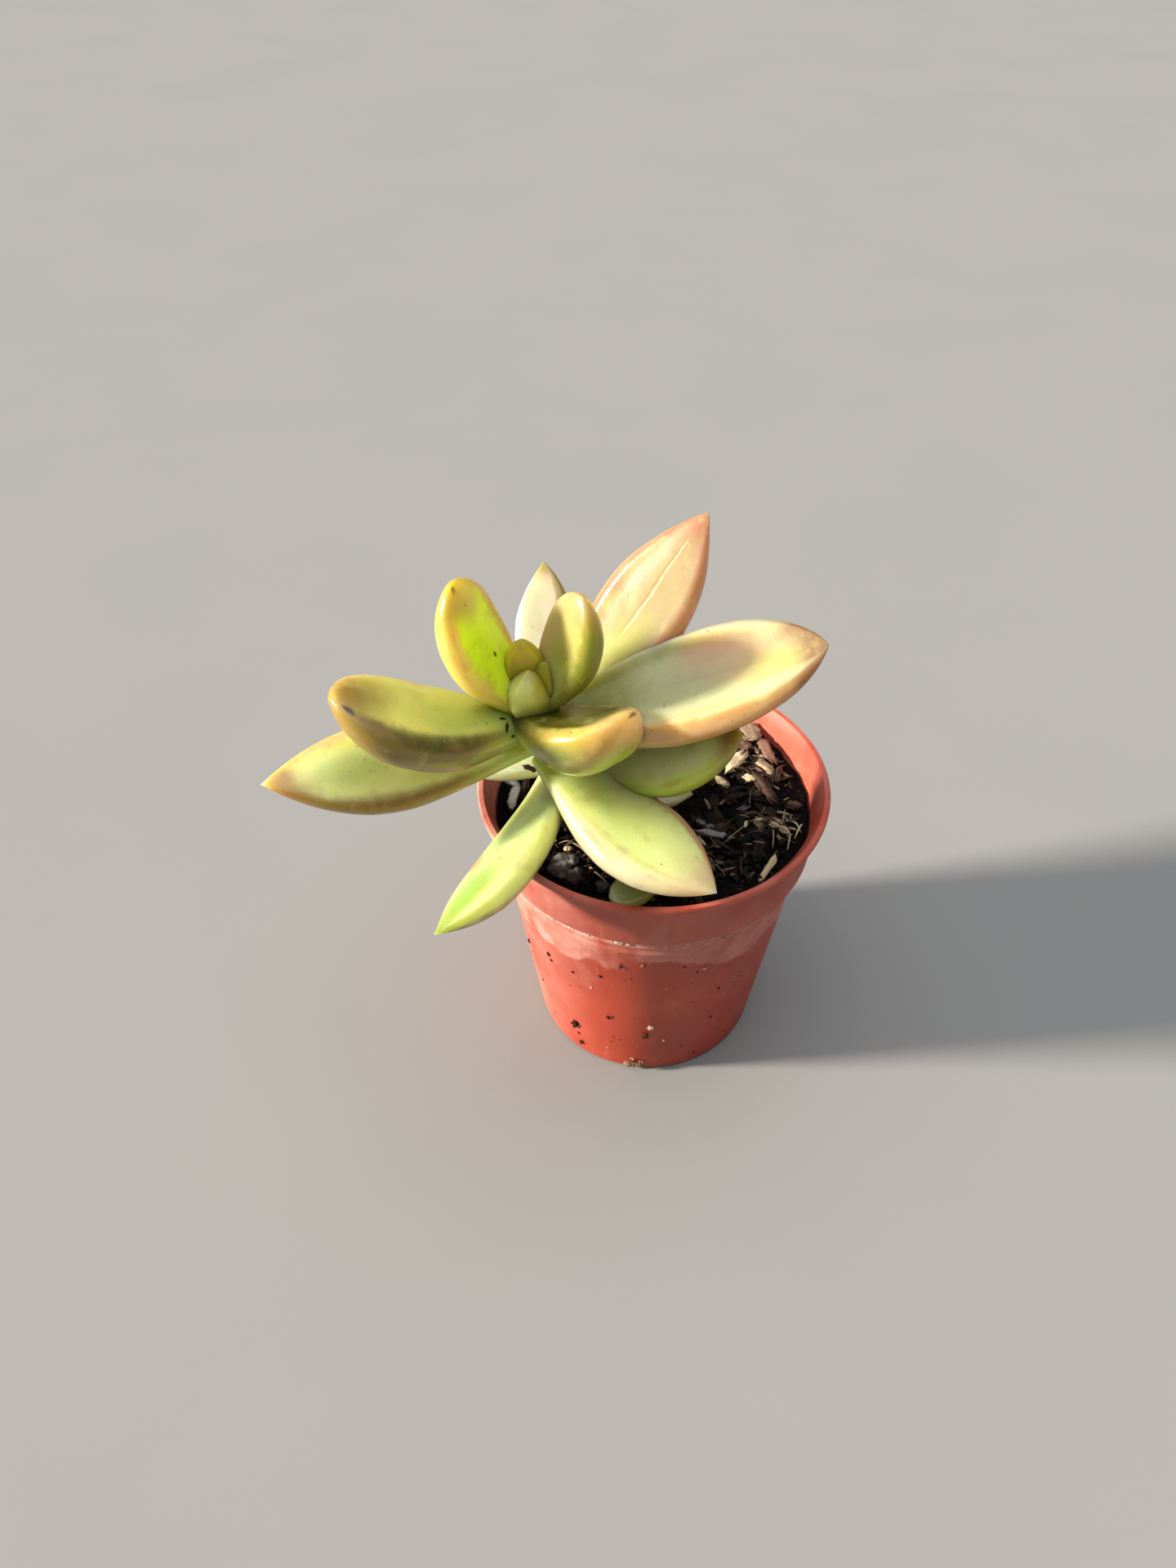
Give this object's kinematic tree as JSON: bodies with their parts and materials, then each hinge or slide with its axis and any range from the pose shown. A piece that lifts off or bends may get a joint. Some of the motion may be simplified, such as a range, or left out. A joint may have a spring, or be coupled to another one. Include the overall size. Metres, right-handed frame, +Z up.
{
  "type": "potted golden sedum",
  "caption": "Golden sedum rosette with thick pointed leaves on a short leaning stem, growing in dark bark soil in a small flared round nursery pot.",
  "frame": {"origin": "centre of the pot's base, on the surface that it stands on", "axes": "+Z up, +X to the plant's right, -Y to its front, where the rosette leans"},
  "size_m": [0.081, 0.064, 0.0946],
  "materials": {
    "pot": "satin terracotta-red plastic, dirt specks and lime stains",
    "soil": "dark crumbly peat with bark chips and pale fibres",
    "stem": "matte olive-brown skin with leaf scars",
    "leaf": "smooth waxy yellow-green flesh with peach and copper margins"
  },
  "bodies": {
    "root": {"pot": "pot", "soil": "soil", "stem": "stem", "bud": "leaf", "inner_leaf_back": "leaf", "inner_leaf_right": "leaf", "leaf_05": "leaf", "leaf_03": "leaf", "leaf_07": "leaf", "leaf_02": "leaf", "leaf_09": "leaf", "leaf_04": "leaf", "leaf_08": "leaf", "leaf_01": "leaf", "leaf_12": "leaf", "leaf_10": "leaf", "leaf_06": "leaf", "leaf_13": "leaf", "leaf_11": "leaf", "ground_leaf": "leaf"}
  },
  "joints": []
}
